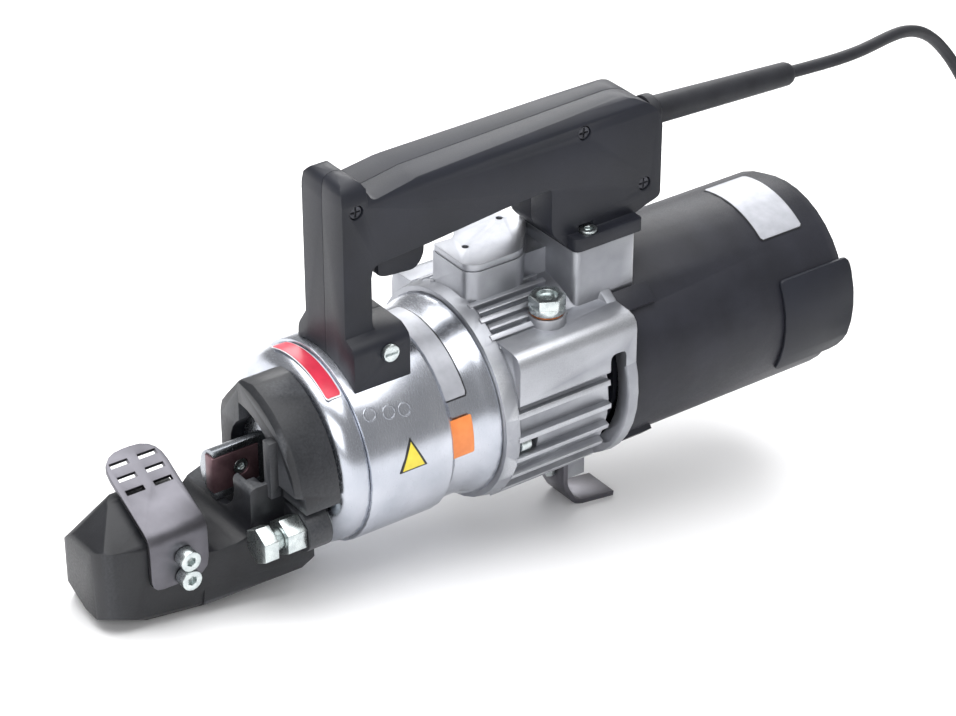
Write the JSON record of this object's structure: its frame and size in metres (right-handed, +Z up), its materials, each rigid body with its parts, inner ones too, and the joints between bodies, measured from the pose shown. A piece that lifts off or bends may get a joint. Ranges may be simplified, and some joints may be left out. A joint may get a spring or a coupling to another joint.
{
  "type": "rebar cutter",
  "caption": "Portable electro-hydraulic rebar cutter with open C-shaped cutter head, cylinder, finned pump housing, motor and top handle.",
  "frame": {"origin": "centre of the standing tool without its cord, on the floor plane", "axes": "+X towards the motor end, +Z up, -Y towards the side with the stopper screw"},
  "size_m": [0.7147, 0.213, 0.2627],
  "materials": {
    "black_cast_iron": "black painted casting",
    "plated_steel": "bright satin plating",
    "zinc_steel": "zinc plated",
    "brushed_steel": "brushed sheet",
    "tool_steel": "heat treated, reddish brown",
    "cast_aluminium": "as cast, satin",
    "ground_steel": "ground",
    "black_plastic": "moulded, satin",
    "black_rubber": "matt",
    "copper": "copper"
  },
  "bodies": {
    "cutter_frame": {"head_casting": "black_cast_iron", "fixed_blade": "tool_steel", "fixed_blade_screw": "zinc_steel", "guard_plate": "brushed_steel", "guard_screw_1": "zinc_steel", "guard_screw_2": "zinc_steel", "stopper_lock_nut": "zinc_steel", "front_ring": "plated_steel", "rod_seal": "black_rubber", "cylinder_barrel": "plated_steel", "return_spring": "ground_steel", "pump_block": "ground_steel", "pump_plunger": "ground_steel", "pump_housing": "cast_aluminium", "top_cover": "cast_aluminium", "oil_filler_plug": "zinc_steel", "oil_filler_washer": "copper", "flange_screw_1": "zinc_steel", "flange_screw_2": "zinc_steel", "flange_screw_3": "zinc_steel", "flange_screw_4": "zinc_steel", "foot_bracket": "brushed_steel", "foot_bracket_screw": "zinc_steel", "eccentric_bearing": "ground_steel", "motor_bearing_front": "ground_steel", "motor_bearing_rear": "ground_steel", "bearing_bridge": "black_plastic", "stator": "ground_steel", "brush_holder_near": "copper", "brush_holder_far": "copper", "brush_cover_near": "black_plastic", "brush_cover_far": "black_plastic", "motor_housing": "black_plastic", "handle_near_half": "black_plastic", "handle_far_half": "black_plastic", "handle_screw_1": "zinc_steel", "handle_screw_2": "zinc_steel", "handle_screw_3": "zinc_steel", "front_foot_screw_near": "zinc_steel", "front_foot_screw_far": "zinc_steel", "rear_foot_screw_near": "zinc_steel", "rear_foot_screw_far": "zinc_steel", "switch_body": "black_plastic", "strain_relief": "black_rubber", "cord_tube": "black_rubber", "cord_coil": "black_rubber", "coil_tie": "black_plastic", "plug_body": "black_rubber"},
    "ram_unit": {"ram": "ground_steel", "moving_blade": "tool_steel", "moving_blade_screw": "zinc_steel", "piston": "ground_steel", "piston_seal": "black_rubber"},
    "armature_unit": {"armature_shaft": "ground_steel", "armature_core": "ground_steel", "commutator": "copper", "cooling_fan": "black_plastic"},
    "eccentric_unit": {"eccentric_shaft": "ground_steel"},
    "trigger_lever": {"trigger": "black_plastic"},
    "stopper_screw": {"stopper_bolt": "zinc_steel"}
  },
  "joints": [
    {"name": "ram_slide", "type": "slide", "parent": "cutter_frame", "child": "ram_unit", "axis": [-0.9903, 0, -0.1392], "range_m": [0, 0.026], "stiffness_N_per_m": 3000},
    {"name": "trigger_hinge", "type": "hinge", "parent": "cutter_frame", "child": "trigger_lever", "pos_m": [-0.07881, -0.0087, 0.20002], "axis": [0, -1, 0], "range_deg": [0, 8], "stiffness_Nm_per_rad": 0.4},
    {"name": "stopper_travel", "type": "slide", "parent": "cutter_frame", "child": "stopper_screw", "axis": [0.9903, 0, 0.1392], "range_m": [-0.008, 0.004]},
    {"name": "armature_spin", "type": "hinge", "parent": "cutter_frame", "child": "armature_unit", "pos_m": [0.12929, 0, 0.10607], "axis": [0.9903, 0, 0.1392], "continuous": true},
    {"name": "eccentric_spin", "type": "hinge", "parent": "cutter_frame", "child": "eccentric_unit", "pos_m": [0.04435, 0, 0.06384], "axis": [0.9903, 0, 0.1392], "continuous": true}
  ],
  "couplings": [
    {"joint": "eccentric_spin", "follows": "armature_spin", "ratio": -0.26316}
  ]
}
